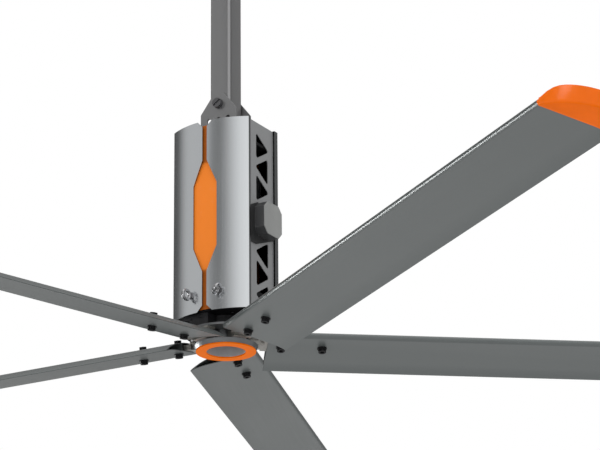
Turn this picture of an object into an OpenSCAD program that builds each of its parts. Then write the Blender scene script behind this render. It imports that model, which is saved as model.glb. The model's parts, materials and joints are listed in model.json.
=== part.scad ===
// Large ceiling fan: five hollow pitched blades on a geared drive unit, which
// hangs from the ceiling on a square down tube with a pivot at each end.
// Frame: origin at the middle of the ceiling plate's top face, +Z up, and the
// housing's front faces -Y. A value whose name ends in _z is a height above the
// lower face of the hub's trim ring. Each blade is drawn along +X and turned.

/* [Hanging] */
// Height from the trim ring's lower face up to the lower pivot
lower_pivot_z = 697; // [690:1:760]
// Length of the square down tube
tube_len = 1000; // [400:10:2500]
// Width of the square down tube
tube_w = 65; // [62:1:70]
// Wall of the down tube
tube_wall = 4; // [3:0.5:6]
// Outer corner radius of the down tube
tube_corner_r = 10; // [5:0.5:12]
// Distance of each pivot from its end of the tube
pivot_edge = 36; // [32:1:44]
// Drop from the ceiling plate's top face to the upper pivot
upper_pivot_drop = 80; // [72:1:120]
// Radius of the two pivot bolts
pivot_r = 8; // [6:0.5:9]
// Side of the square ceiling plate
ceiling_plate_w = 200; // [185:5:260]
// Thickness of the ceiling plate
ceiling_plate_t = 10; // [6:1:16]
// Hole spacing of the ceiling plate, both ways
ceiling_hole_pitch = 150; // [140:5:160]
// Radius of the ceiling plate's bolt holes
ceiling_hole_r = 7; // [5:0.5:9]
// Radius of the cable hole in the middle of the ceiling plate
cable_hole_r = 20; // [12:1:24]
// Width of the two hanger plates
hanger_w = 114; // [100:1:124]
// Thickness of the two hanger plates
hanger_t = 5; // [4:0.5:8]

/* [Housing] */
// Width of the housing across its two side edges
housing_w = 239; // [237:1:256]
// Depth of the housing at its side edges
housing_edge_depth = 146; // [136:1:156]
// Bulge of the front and rear covers past the side edges
cover_bulge = 34.4; // [33:0.2:42]
// Lower edge of the four covers
cover_bottom_z = 85; // [82:1:87]
// Upper edge of the four covers
cover_top_z = 623; // [615:1:640]
// Wall of the covers
cover_wall = 3; // [2:0.5:4]
// Width of the slot between two covers
slot_w = 14; // [8:0.5:18]
// Width of the six-sided window in the middle of the slot
window_w = 73.5; // [50:0.5:76]
// Height of the window's parallel part
window_straight_h = 177; // [120:1:240]
// Height of the whole window, tip to tip
window_h = 346; // [280:1:360]
// Thickness of the side panels
panel_t = 4; // [3:0.5:6]
// Corner radius of the cut-outs in the side panels
cutout_r = 5.5; // [2:0.5:6]

/* [Control box] */
// Width of the eight-sided control box, front to back
box_w = 87.5; // [70:0.5:100]
// Height of the control box
box_h = 91; // [84:1:110]
// Depth of the control box, from the panel to its lid's face
box_depth = 35; // [26:0.5:50]
// Height of the control box's middle
box_mid_z = 343; // [336:1:350]

/* [Fan rotor] */
// Number of blades
blade_count = 5; // [3:1:6]
// Turn of the first blade from +X at rest, in degrees
blade_start_angle = 37.8; // [0:0.1:72]
// Distance of the blade's root end from the fan's axis
blade_root_r = 110; // [107:1:118]
// Distance of the blade's outer end, where the winglet starts
blade_end_r = 1774; // [900:2:3400]
// Pitch of the blade's underside, in degrees
blade_pitch = 11; // [8:0.5:12]
// Greatest thickness of the blade
blade_thick = 24; // [23:0.5:30]
// Wall of the hollow blade
blade_wall = 2; // [1.5:0.1:2.2]
// Radius of the leading edge
nose_r = 8.5; // [8.2:0.1:10]
// Leading edge's centre, ahead of the blade's bolt line
nose_lead = 48.3; // [46:0.5:56]
// Trailing edge, behind the blade's bolt line
tail_lag = 122.6; // [90:0.5:130]
// Height of the leading edge's centre
nose_z = 35.9; // [34:0.1:37]
// Outer radius of the trim ring
ring_r = 80; // [78:0.5:82]
// Inner radius of the trim ring, also the bore of the hub
ring_bore_r = 52; // [46:0.5:53]
// Radius of the hub's upper disc
upper_disc_r = 104; // [103:0.5:106]
// Length of the winglet's level part at its trailing edge
winglet_len = 84; // [50:1:110]
// Height of the winglet's turned-up fin
winglet_fin_h = 34; // [20:1:60]

/* [Drive] */
// Distance between the fan's axis and the countershaft
gear_centre = 54; // [54:0.1:54.2]
// Teeth on each small gear
pinion_teeth = 18; // [18:1:18]
// Teeth on each large gear
wheel_teeth = 36; // [36:1:36]
// Radius of the output shaft
output_shaft_r = 20; // [17:0.5:21]
// Outer radius of the motor's can
motor_r = 75; // [72:1:76]
// Length of the motor's can
motor_len = 155; // [145:1:180]

/* [Hidden] */
$fn = 72;

// Clearances and the overrun of every cut
overrun = 1;
moving_gap = 0.3;
running_gap = 0.05;
seat_gap = 0.3;
press_gap = 0.02;
hole_gap = 0.2;

// Heights of the suspension
upper_pivot_z = lower_pivot_z + tube_len - 2 * pivot_edge;
ceiling_z = upper_pivot_z + upper_pivot_drop;
half_tube = tube_w / 2;
ear_in = half_tube + moving_gap + hole_gap;
ear_t = 6;
ear_half_w = 35;
sleeve_wall = 4;
washer_t = 2;
washer_r = 14;
pivot_head_r = 13.3;
pivot_head_h = 9;
pivot_slot_w = 4.5;
pivot_slot_h = 4;
pivot_slot_angle = 35;
pivot_nut_af = 24;
pivot_nut_h = 13;

// Hanger plates and crosshead
hanger_top_half_w = 15;
hanger_over = 31;
hanger_top_z = lower_pivot_z + hanger_over;
shoulder_drop = 23;
hanger_shoulder_z = lower_pivot_z - shoulder_drop;
hanger_corner_r = 8;
light_hole_r = 6.5;
light_hole_pitch = 30;
light_hole_drop = 46;
light_hole_z = lower_pivot_z - light_hole_drop;
top_plate_z = 560;
top_plate_t = 8;
hanger_bottom_z = top_plate_z + top_plate_t;
crosshead_h = 56;
crosshead_half_w = 50;
cable_way_r = 15;
crosshead_bolt_r = 6;
crosshead_bolt_x = 35;
crosshead_bolt_low = 16;
crosshead_bolt_rise = 26;
crosshead_head_af = 19;
crosshead_head_h = 8;

// Closing sheet inside the top of the housing, round the hanger
dust_cover_drop = 25;
dust_cover_t = 2;
dust_cover_gap = 3;

// Housing plan: each curved face is one arc through the two side edges
half_w = housing_w / 2;
edge_y = housing_edge_depth / 2;
cover_r = (half_w * half_w + cover_bulge * cover_bulge) / (2 * cover_bulge);
cover_centre_y = cover_r - cover_bulge - edge_y;
cover_inner_r = cover_r - cover_wall;
cover_h = cover_top_z - cover_bottom_z;
cover_bands = [7, 16];
panel_recess = 5;
panel_out_x = half_w - panel_recess;
panel_in_x = panel_out_x - panel_t;
panel_front_y = edge_y - cover_bands[0];
panel_rear_y = edge_y - cover_bands[1];
plate_recess = 3;
panel_bottom_z = cover_bottom_z + plate_recess;
panel_top_inset = 2;
panel_top_z = cover_top_z - panel_top_inset;
slot_chamfer = 16.5;
window_drop = 1;
window_mid_z = cover_bottom_z + cover_h / 2 - window_drop;

// Accent plates behind the slots
accent_t = 3;
accent_lap = 6;
accent_half_w = window_w / 2 + accent_lap;
accent_y = sqrt(cover_inner_r * cover_inner_r - accent_half_w * accent_half_w)
    - cover_centre_y - seat_gap;
accent_inset = [7, 11];
accent_bottom_z = cover_bottom_z + accent_inset[0];
accent_top_z = cover_top_z - accent_inset[1];

// Cross plates inside the housing
bottom_plate_z = panel_bottom_z;
bottom_plate_t = 6;
former_z = 125;
former_t = 20;
shelf_z = 392;
shelf_t = 6;
shelf_hole_gap = 5;

// Side panel cut-outs: triangles that alternate, with none behind the control box
cutout_half_w = 29.6;
cutout_half_h = 37.7;
cutout_tip_lap = 5.3;
cutout_pitch = 120;
forward_cutout_z = 554;
forward_cutout_shares = [0, 1, 3];
backward_cutout_z = 494;
backward_cutout_shares = [0, 2, 3];

// Guy eyes
eye_x = 44;
eye_z = former_z + former_t / 2;
eye_angle = asin(eye_x / cover_r);
eye_shank_r = 6;
eye_shank_len = 30;
eye_collar_r = 10;
eye_collar_t = 3;
eye_major_r = 12.5;
eye_wire_r = 4.5;
eye_reach = 18;
eye_turns = [0, 35, 0, 35];

// Control box
box_chamfer = 17;
box_wall = 3;
box_base_t = 4;
box_base_gap = 2;
box_base_low_share = 1.57;
box_base_high_share = 1.07;
box_base_turn_shares = [0.77, 0.63];
box_base_side_shares = [0.82, 0.37, 0.68];
box_lid_t = 3;
box_cable_r = 8;
board_stand = 8;
board_t = 1.6;
board_margin = 9;
board_post_r = 3;
board_part_h = 9;

// Gear train: both stages share one centre distance
module_mm = 2 * gear_centre / (pinion_teeth + wheel_teeth);
pressure_angle = 20;
dedendum_share = 1.25;
tooth_thinning = 0.24;
flank_steps = 4;
counter_angle = 180;
wheel_r = module_mm * wheel_teeth / 2;
pinion_face = 22;
wheel_face = 20;
face_margin = (pinion_face - wheel_face) / 2;

// Bearings: [bore radius, outer radius, width]
output_bearing_ring = 12;
output_bearing_w = 15;
output_bearing = [output_shaft_r, output_shaft_r + output_bearing_ring, output_bearing_w];
counter_bearing = [8.5, 20, 12];
motor_bearing = [10, 23.5, 14];

// Gear case, in four pieces stacked on one outline
case_wall = 7.5;
gear_room = 2.5;
case_in_r = wheel_r + module_mm + gear_room;
case_r = case_in_r + case_wall;
case_z = 64;
case_floor_t = 20;
stage_gap = 3;
seal_t = 4;
seal_r = 30;
floor_gap = 2;
stage2_z = case_z + case_floor_t + floor_gap;
web_z = stage2_z + pinion_face + stage_gap;
web_t = output_bearing[2];
pinion_end_gap = 5;
stage1_z = web_z + web_t + pinion_end_gap;
flange_z = stage1_z + pinion_face + pinion_end_gap;
motor_flange_t = 20;
flange_rim = 11;
motor_flange_r = motor_r + flange_rim;
can_z = flange_z + motor_flange_t;
can_wall = 5;
end_cap_z = can_z + motor_len;
end_cap_t = 16;
case_foot_z = bottom_plate_z + bottom_plate_t;
case_foot_t = 6;
foot_margin_y = 10;
foot_margins_x = [5, 12];
case_foot_half_y = case_r + foot_margin_y;
case_foot_x = [-case_r - gear_centre - foot_margins_x[0], case_r + foot_margins_x[1]];
foot_screw_r = 4;
foot_screw_inset = 8;
case_screw_r = 2.5;
case_screw_ring = (case_in_r + case_r) / 2;
case_screw_head_h = 5;
case_screw_len = can_z - case_foot_z - case_foot_t;
shaft_hole_gap = 2;
web_shaft_r = 14;
counter_shoulder_r = 12;

// Foot block of the gear case, which shows below the housing's front
block_x = [-76, 0];
block_front_y = 90;
block_rear_y = 30;
block_step_y = 50;
block_low_z = 56;
block_slot = [16, 3, 5];
block_slot_x = -22;
block_plug_x = -50;
block_plug_r = 4;
block_mark_z = 74;

// Motor
stator_h = 90;
stator_rise = 27;
stator_z = can_z + stator_rise;
stator_in_r = 46;
air_gap = 0.6;
slot_count = 12;
slot_depth = 14;
stator_slot_w = 9;
coil_over = 8;
rod_r = 3;
rod_offset = 5;
rod_ring = motor_r + rod_offset;
rod_count = 4;
rod_nut_af = 10;
rod_nut_h = 6;
magnet_count = 8;
magnet_space = 6;
magnet_t = 5;

// Inverter, on the shelf
inverter_size = [130, 90, 122];
inverter_wall = 2.5;
heatsink_depth = 30;
heatsink_base_t = 6;
fin_count = 9;
fin_t = 3;

// Hub
hub_flange_z = 52;
hub_flange_t = 10;
hub_flange_r = 44;
upper_disc_t = 6;
upper_disc_z = hub_flange_z - upper_disc_t;
spigot_step = 4;
spigot_r = output_shaft_r + spigot_step;
trim_t = 4;
hub_disc_top_z = 16;
hub_flare = 6;
hub_sleeve_wall = 4;
hub_screw_count = 6;
hub_screw_ring = 34;
hub_screw_r = 5;
hub_screw_head_r = 8;
hub_screw_head_h = 10;

// Struts and their fasteners
strut_gap = 1;
strut_root_x = ring_bore_r + hub_sleeve_wall + strut_gap;
strut_root_half_w = 20;
strut_inset = 4;
strut_root_end = upper_disc_r - strut_inset;
strut_bar_lap = 8;
strut_bar_start = strut_root_end - strut_bar_lap;
strut_bar_half_w = 28;
strut_bar_t = 14.5;
strut_reach = 190;
strut_end_r = blade_root_r + strut_reach;
lug_half_w = 37;
lug_len = 30;
lug_start = strut_root_end - lug_len;
lug_t = 6;
lug_bolt_y = 28;
lug_bolt_r = 4;
lug_head_af = 13;
lug_bolt_x = strut_bar_start - lug_head_af / sqrt(3) - seat_gap;
lug_head_h = 6;
root_screw_inset = 14;
root_screw_x = ring_bore_r + root_screw_inset;
root_screw_y = 13;
root_screw_r = 4;
root_screw_head_r = 6.5;
root_screw_head_h = 6;
root_screw_depth = 24;

// Blade section, level with the hub: s runs forward of the bolt line
tail_t = 1.8;
flap_len = 45;
flap_drop = 5.2;
crest_share = 0.4;
web_s = -42;
front_cell = [web_s, nose_lead];
tail_solid = 14;
rear_cell = [web_s - blade_wall, -tail_lag + tail_solid];
cell_steps = 8;
skin_steps = 20;
nose_steps = 7;
blade_bolt_offsets = [36, 146];
blade_bolt_xs = [for (d = blade_bolt_offsets) blade_root_r + d];
blade_bolt_r = 6;
blade_head_r = 10.5;
blade_head_h = 10;
blade_socket_r = 5.8;
blade_socket_h = 5;
blade_washer_r = 13;
blade_washer_t = 2;
blade_nut_af = 19;
blade_nut_h = 10;

// Winglet
spigot_len = 40;
spigot_half_w = 26;
winglet_nose_len = 1.5;
fin_nose_h = 3;
crease_r = 8;
fin_angle = 66;
fin_root_t_share = 0.2;
fin_tip_t_share = 0.05;
fin_fall_share = 0.3;
fin_fall_power = 1.5;
crease_power = 3.4;
fin_power = 16;
level_steps = 4;
crease_steps = 4;
fin_steps = 4;

module place(z = 0) translate([0, 0, z - ceiling_z]) children();

module flip_x(on) {
    if (on) mirror([1, 0, 0]) children();
    else children();
}

module flip_y(on) {
    if (on) mirror([0, 1, 0]) children();
    else children();
}

module at_blade(i) rotate(blade_start_angle + (i - 1) * 360 / blade_count) children();

module at_each_blade() for (i = [1:blade_count]) at_blade(i) children();

module tube_2d(r_out, r_in) {
    difference() {
        circle(r = r_out);
        circle(r = r_in);
    }
}

module hexagon(af, h) cylinder(r = af / sqrt(3), h = h, $fn = 6);

// Points of a polygon, listed anticlockwise, with each corner rounded
corner_steps = 5;
function unit(v) = v / norm(v);
function corner_arc(a, p, b, r) =
    let (
        u = unit(a - p),
        v = unit(b - p),
        half = acos(u * v) / 2,
        c = p + unit(u + v) * r / sin(half),
        t = p + u * r / tan(half) - c,
        start = atan2(t[1], t[0])
    )
    [for (k = [0:corner_steps])
        let (a = start + (180 - 2 * half) * k / corner_steps)
        c + r * [cos(a), sin(a)]];
function rounded(points, r) =
    let (n = len(points))
    [for (i = [0:n - 1]) each corner_arc(points[(i + n - 1) % n], points[i], points[(i + 1) % n], r)];

module rounded_square(w, r) {
    square([w - 2 * r, w], center = true);
    square([w, w - 2 * r], center = true);
    for (x = [-1, 1], y = [-1, 1]) translate([x * (w / 2 - r), y * (w / 2 - r)]) circle(r = r);
}

// Ceiling bracket and the two pivots
module slotted_head() difference() {
    cylinder(r = pivot_head_r, h = pivot_head_h);
    translate([0, 0, pivot_head_h]) rotate(pivot_slot_angle)
        cube([2 * (pivot_head_r + overrun), pivot_slot_w, 2 * pivot_slot_h], center = true);
}

module pivot_hardware(wall_t) {
    shank = 2 * (ear_in + wall_t + washer_t);
    rotate([90, 0, 0]) {
        cylinder(r = pivot_r, h = shank, center = true);
        for (side = [-1, 1]) translate([0, 0, side * (shank / 2 - washer_t / 2)])
            cylinder(r = washer_r, h = washer_t, center = true);
        translate([0, 0, shank / 2]) slotted_head();
        translate([0, 0, -shank / 2 - pivot_nut_h]) hexagon(pivot_nut_af, pivot_nut_h);
    }
}

module ear(t) {
    reach = upper_pivot_drop - ceiling_plate_t;
    rotate([90, 0, 90]) difference() {
        union() {
            translate([-ear_half_w, 0, 0]) cube([2 * ear_half_w, reach, t]);
            cylinder(r = ear_half_w, h = t);
        }
        translate([0, 0, -overrun]) cylinder(r = pivot_r + press_gap, h = t + 2 * overrun);
    }
}

module ceiling_bracket() color([0.40, 0.40, 0.41]) {
    place(ceiling_z - ceiling_plate_t) difference() {
        translate([-ceiling_plate_w / 2, -ceiling_plate_w / 2, 0])
            cube([ceiling_plate_w, ceiling_plate_w, ceiling_plate_t]);
        translate([0, 0, -overrun]) {
            cylinder(r = cable_hole_r, h = ceiling_plate_t + 2 * overrun);
            for (x = [-1, 1], y = [-1, 1])
                translate([x * ceiling_hole_pitch / 2, y * ceiling_hole_pitch / 2, 0])
                    cylinder(r = ceiling_hole_r, h = ceiling_plate_t + 2 * overrun);
        }
    }
    place(upper_pivot_z) for (side = [0, 1]) flip_x(side == 1) translate([ear_in, 0, 0]) ear(ear_t);
}

module upper_pivot_bolt() color([0.15, 0.15, 0.16]) place(upper_pivot_z) rotate(90) pivot_hardware(ear_t);

module lower_pivot_bolt() color([0.15, 0.15, 0.16]) place(lower_pivot_z) pivot_hardware(hanger_t);

// Down tube, with a sleeve across each end
module down_tube() color([0.42, 0.42, 0.43]) place(lower_pivot_z - pivot_edge) difference() {
    linear_extrude(tube_len) difference() {
        rounded_square(tube_w, tube_corner_r);
        rounded_square(tube_w - 2 * tube_wall, tube_corner_r - tube_wall);
    }
    translate([0, 0, pivot_edge]) rotate([90, 0, 0])
        cylinder(r = pivot_r + sleeve_wall + press_gap, h = tube_w + 2 * overrun, center = true);
    translate([0, 0, tube_len - pivot_edge]) rotate([0, 90, 0])
        cylinder(r = pivot_r + sleeve_wall + press_gap, h = tube_w + 2 * overrun, center = true);
}

module pivot_sleeve() rotate([90, 0, 0]) difference() {
    cylinder(r = pivot_r + sleeve_wall, h = tube_w + 2 * hole_gap, center = true);
    cylinder(r = pivot_r + running_gap, h = tube_w + 2 * overrun, center = true);
}

module pivot_sleeves() color([0.72, 0.62, 0.35]) {
    place(lower_pivot_z) pivot_sleeve();
    place(upper_pivot_z) rotate(90) pivot_sleeve();
}

// Hanger plates and the crosshead that they clamp
module hanger_outline() polygon(rounded([
    [-hanger_w / 2, hanger_bottom_z], [hanger_w / 2, hanger_bottom_z],
    [hanger_w / 2, hanger_shoulder_z], [hanger_top_half_w, hanger_top_z],
    [-hanger_top_half_w, hanger_top_z], [-hanger_w / 2, hanger_shoulder_z]], hanger_corner_r));

module crosshead_holes(r, depth) for (x = [-1, 1], row = [0, 1])
    translate([x * crosshead_bolt_x, 0, hanger_bottom_z + crosshead_bolt_low + row * crosshead_bolt_rise])
        rotate([90, 0, 0]) cylinder(r = r, h = depth, center = true);

module hanger_plates() color([0.41, 0.41, 0.42]) place() difference() {
    for (side = [0, 1]) flip_y(side == 1) translate([0, -ear_in, 0]) rotate([90, 0, 0])
        linear_extrude(hanger_t) hanger_outline();
    span = 2 * (ear_in + hanger_t + overrun);
    translate([0, 0, lower_pivot_z]) rotate([90, 0, 0])
        cylinder(r = pivot_r + press_gap, h = span, center = true);
    for (x = [-1, 0, 1]) translate([x * light_hole_pitch, 0, light_hole_z]) rotate([90, 0, 0])
        cylinder(r = light_hole_r, h = span, center = true);
    crosshead_holes(crosshead_bolt_r + press_gap, span);
}

module crosshead() color([0.30, 0.30, 0.31]) place() difference() {
    translate([-crosshead_half_w, -ear_in, hanger_bottom_z])
        cube([2 * crosshead_half_w, 2 * ear_in, crosshead_h]);
    translate([0, 0, hanger_bottom_z - overrun]) cylinder(r = cable_way_r, h = crosshead_h + 2 * overrun);
    crosshead_holes(crosshead_bolt_r + press_gap, 2 * ear_in + 2 * overrun);
}

module crosshead_bolts() color([0.20, 0.20, 0.21]) place() {
    half_span = ear_in + hanger_t;
    crosshead_holes(crosshead_bolt_r, 2 * half_span);
    for (x = [-1, 1], row = [0, 1], side = [0, 1]) flip_y(side == 1)
        translate([x * crosshead_bolt_x, -half_span,
            hanger_bottom_z + crosshead_bolt_low + row * crosshead_bolt_rise])
            rotate([90, 0, 0]) hexagon(crosshead_head_af, crosshead_head_h);
}

// Cross plates: the inside of the housing's plan, notched for the accents
module housing_plan() difference() {
    intersection() {
        translate([0, cover_centre_y]) circle(r = cover_inner_r - seat_gap);
        translate([0, -cover_centre_y]) circle(r = cover_inner_r - seat_gap);
        square([2 * panel_in_x, housing_w * 2], center = true);
    }
    for (side = [-1, 1]) translate([0, side * (accent_y - accent_t + housing_w / 2)])
        square([2 * accent_half_w + 2 * seat_gap, housing_w], center = true);
}

module case_plan(r) {
    circle(r = r);
    rotate(counter_angle) translate([gear_centre, 0]) circle(r = r);
}

module top_plate() color([0.25, 0.25, 0.26]) {
    place(top_plate_z) linear_extrude(top_plate_t) difference() {
        housing_plan();
        circle(r = cable_way_r);
    }
    place(cover_top_z - dust_cover_drop) linear_extrude(dust_cover_t) difference() {
        housing_plan();
        square([hanger_w + 2 * dust_cover_gap,
            2 * (ear_in + hanger_t + crosshead_head_h + dust_cover_gap)], center = true);
    }
}

module shelf_plate() color([0.25, 0.25, 0.26]) place(shelf_z) linear_extrude(shelf_t) difference() {
    housing_plan();
    translate([0, -inverter_size[1] / 2 - cable_way_r - shelf_hole_gap]) circle(r = cable_way_r);
}

module on_cover_face(i) flip_y(i > 1) translate([0, cover_centre_y, eye_z])
    rotate((i % 2 == 0 ? -1 : 1) * eye_angle) translate([0, -cover_r, 0]) children();

module lower_former() color([0.25, 0.25, 0.26]) difference() {
    place(former_z) linear_extrude(former_t) difference() {
        housing_plan();
        case_plan(case_r + shaft_hole_gap);
    }
    place() for (i = [0:3]) on_cover_face(i) rotate([-90, 0, 0])
        cylinder(r = eye_shank_r + press_gap, h = eye_shank_len + hole_gap);
}

module bottom_plate() color([0.08, 0.08, 0.085]) place(bottom_plate_z) difference() {
    linear_extrude(bottom_plate_t) difference() {
        housing_plan();
        case_plan(case_r + shaft_hole_gap);
        translate([block_x[0] - shaft_hole_gap, -block_front_y - shaft_hole_gap])
            square([block_x[1] - block_x[0] + 2 * shaft_hole_gap, block_front_y]);
    }
    foot_screw_places() translate([0, 0, -overrun])
        cylinder(r = foot_screw_r + press_gap, h = bottom_plate_t + 2 * overrun);
}

// Side panels with the truss of triangles
module cutout(z, dir) translate([0, z]) rotate(dir > 0 ? 0 : 180) polygon(rounded([
    [-cutout_half_w, -cutout_half_h], [cutout_half_w + cutout_tip_lap, 0],
    [-cutout_half_w, cutout_half_h]], cutout_r));

module side_panel(cable_hole) place() rotate([90, 0, 90]) translate([0, 0, panel_in_x])
    linear_extrude(panel_t) difference() {
        translate([-panel_front_y, panel_bottom_z])
            square([panel_front_y + panel_rear_y, panel_top_z - panel_bottom_z]);
        for (k = forward_cutout_shares) cutout(forward_cutout_z - k * cutout_pitch, 1);
        for (k = backward_cutout_shares) cutout(backward_cutout_z - k * cutout_pitch, -1);
        if (cable_hole) translate([0, box_mid_z]) circle(r = box_cable_r);
    }

module right_side_panel() color([0.55, 0.55, 0.56]) side_panel(true);

module left_side_panel() color([0.55, 0.55, 0.56]) mirror([1, 0, 0]) side_panel(false);

// Covers: one arc shell with a side band, a lip on to the panel, half of the window
module front_right_shell(band) difference() {
    union() {
        intersection() {
            translate([0, cover_centre_y, cover_bottom_z]) linear_extrude(cover_h)
                tube_2d(cover_r, cover_inner_r);
            translate([slot_w / 2, -housing_w, cover_bottom_z])
                cube([half_w - slot_w / 2, housing_w - edge_y, cover_h]);
        }
        translate([half_w - cover_wall, -edge_y, cover_bottom_z]) cube([cover_wall, band, cover_h]);
        translate([panel_in_x, -edge_y + band - cover_wall, cover_bottom_z])
            cube([half_w - panel_in_x, cover_wall, cover_h]);
    }
    rotate([90, 0, 0]) linear_extrude(housing_w) {
        translate([0, window_mid_z]) polygon([
            [0, -window_h / 2], [window_w / 2, -window_straight_h / 2],
            [window_w / 2, window_straight_h / 2], [0, window_h / 2]]);
        reach = slot_w / 2 + slot_chamfer;
        polygon([[0, cover_bottom_z - overrun], [reach + overrun, cover_bottom_z - overrun],
            [0, cover_bottom_z + reach]]);
        polygon([[0, cover_top_z + overrun], [0, cover_top_z - reach],
            [reach + overrun, cover_top_z + overrun]]);
    }
    on_cover_face(1) rotate([-90, 0, 0]) translate([0, 0, -overrun - cover_wall])
        cylinder(r = eye_shank_r + hole_gap, h = 2 * eye_collar_r);
}

module cover(left, rear) color([0.66, 0.67, 0.68]) place()
    flip_x(left) flip_y(rear) front_right_shell(cover_bands[rear ? 1 : 0]);

module front_right_cover() cover(false, false);
module front_left_cover() cover(true, false);
module rear_right_cover() cover(false, true);
module rear_left_cover() cover(true, true);

module accent() place() difference() {
    translate([-accent_half_w, -accent_y, accent_bottom_z])
        cube([2 * accent_half_w, accent_t, accent_top_z - accent_bottom_z]);
    for (i = [0, 1]) on_cover_face(i) rotate([-90, 0, 0])
        cylinder(r = eye_shank_r + hole_gap, h = eye_shank_len);
}

module front_accent() color([0.93, 0.42, 0.10]) accent();
module rear_accent() color([0.93, 0.42, 0.10]) mirror([0, 1, 0]) accent();

// Eye bolts for the guy wires
module guy_eye(turn) {
    rotate([-90, 0, 0]) cylinder(r = eye_shank_r, h = eye_shank_len);
    rotate([90, 0, 0]) cylinder(r = eye_collar_r, h = eye_collar_t);
    rotate([0, turn, 0]) translate([0, -eye_reach, 0]) rotate([0, 90, 0])
        rotate_extrude() translate([eye_major_r, 0]) circle(r = eye_wire_r);
}

module guy_eyes() color([0.80, 0.80, 0.81]) place()
    for (i = [0:3]) on_cover_face(i) guy_eye(eye_turns[i]);

// Control box on the right-hand panel
module box_outline(inset) {
    w = box_w / 2 - inset;
    h = box_h / 2 - inset;
    c = box_chamfer - inset * (2 - sqrt(2));
    polygon([[-w, -h + c], [-w + c, -h], [w - c, -h], [w, -h + c],
        [w, h - c], [w - c, h], [-w + c, h], [-w, h - c]]);
}

module box_base_outline() {
    w = box_w / 2;
    h = box_h / 2;
    front = -panel_front_y + box_base_gap;
    rear = panel_rear_y - box_base_gap;
    polygon([[front, -h * box_base_low_share], [-w * box_base_turn_shares[0], -h * box_base_low_share],
        [rear, -h * box_base_side_shares[0]], [rear, h * box_base_side_shares[1]],
        [-w * box_base_turn_shares[1], h * box_base_high_share], [front, h * box_base_side_shares[2]]]);
}

module on_panel(x) place(box_mid_z) translate([panel_out_x + x, 0, 0]) rotate([90, 0, 90]) children();

module control_box() color([0.26, 0.27, 0.28]) difference() {
    union() {
        on_panel(0) linear_extrude(box_depth - box_lid_t) box_outline(0);
        on_panel(0) linear_extrude(box_base_t) box_base_outline();
    }
    on_panel(box_wall) linear_extrude(box_depth) box_outline(box_wall);
    on_panel(-overrun) cylinder(r = box_cable_r, h = box_wall + 2 * overrun);
}

module control_box_lid() color([0.55, 0.56, 0.57]) on_panel(box_depth - box_lid_t)
    linear_extrude(box_lid_t) box_outline(0);

module control_board() color([0.10, 0.35, 0.18]) {
    half_board_w = box_w / 2 - box_wall - board_margin;
    half_board_h = box_h / 2 - box_wall - board_margin;
    on_panel(box_wall + board_stand) {
        linear_extrude(board_t) square([2 * half_board_w, 2 * half_board_h], center = true);
        for (x = [-1, 1], y = [-1, 1])
            translate([x * (half_board_w / 2), y * (half_board_h / 2), board_t])
                linear_extrude(board_part_h) square([half_board_w / 2, half_board_h / 3], center = true);
    }
    on_panel(box_wall) for (x = [-1, 1], y = [-1, 1])
        translate([x * (half_board_w - board_post_r), y * (half_board_h / 2), 0])
            cylinder(r = board_post_r, h = board_stand);
}

// Involute spur gears with thinned teeth
function involute_angle(r, base) = let (a = acos(min(1, base / r))) tan(a) * 180 / PI - a;
function gear_points(teeth) =
    let (
        pitch = module_mm * teeth / 2,
        base = pitch * cos(pressure_angle),
        root = pitch - dedendum_share * module_mm,
        tip = pitch + module_mm,
        flank_start = max(base, root),
        half = 90 / teeth - tooth_thinning / 2 / pitch * 180 / PI + involute_angle(pitch, base),
        radii = concat(root < base ? [root] : [],
            [for (k = [0:flank_steps]) flank_start + (tip - flank_start) * k / flank_steps]),
        n = len(radii)
    )
    [for (t = [0:teeth - 1], k = [0:2 * n - 1])
        let (
            r = radii[k < n ? k : 2 * n - 1 - k],
            side = k < n ? -1 : 1,
            a = t * 360 / teeth + side * (half - involute_angle(max(r, base), base))
        )
        r * [cos(a), sin(a)]];
module gear(teeth, face) linear_extrude(face) polygon(gear_points(teeth));
module at_counter() rotate(counter_angle) translate([gear_centre, 0, 0]) children();

module bearing_ring(b, gap) linear_extrude(b[2]) tube_2d(b[1], b[0] + gap);

module bearings() color([0.75, 0.76, 0.78]) {
    place(case_z + case_floor_t - output_bearing[2]) bearing_ring(output_bearing, running_gap);
    place(web_z) bearing_ring(output_bearing, running_gap);
    place(case_z + case_floor_t - counter_bearing[2]) at_counter()
        bearing_ring(counter_bearing, running_gap);
    place(flange_z) at_counter() bearing_ring(counter_bearing, running_gap);
    place(can_z - motor_bearing[2]) bearing_ring(motor_bearing, running_gap);
    place(end_cap_z) bearing_ring(motor_bearing, running_gap);
}

module bearing_pocket(b, z) place(z) cylinder(r = b[1] + press_gap, h = b[2] + overrun);

module output_seal() color([0.09, 0.09, 0.09]) place(case_z)
    linear_extrude(seal_t) tube_2d(seal_r, output_shaft_r + moving_gap);

// Gear case pieces
module foot_screw_places() for (x = [case_foot_x[0] + foot_screw_inset, case_foot_x[1] - foot_screw_inset],
    y = [-1, 1]) translate([x, y * (case_foot_half_y - foot_screw_inset), 0]) children();

module case_screw_places() {
    for (a = [-60, 0, 60]) rotate(a) translate([case_screw_ring, 0, 0]) children();
    at_counter() for (a = [-60, 0, 60]) rotate(a) translate([case_screw_ring, 0, 0]) children();
}

module case_ring(z, h) place(z) linear_extrude(h) difference() {
    case_plan(case_r);
    case_plan(case_in_r);
    case_screw_places() circle(r = case_screw_r + press_gap);
}

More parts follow.
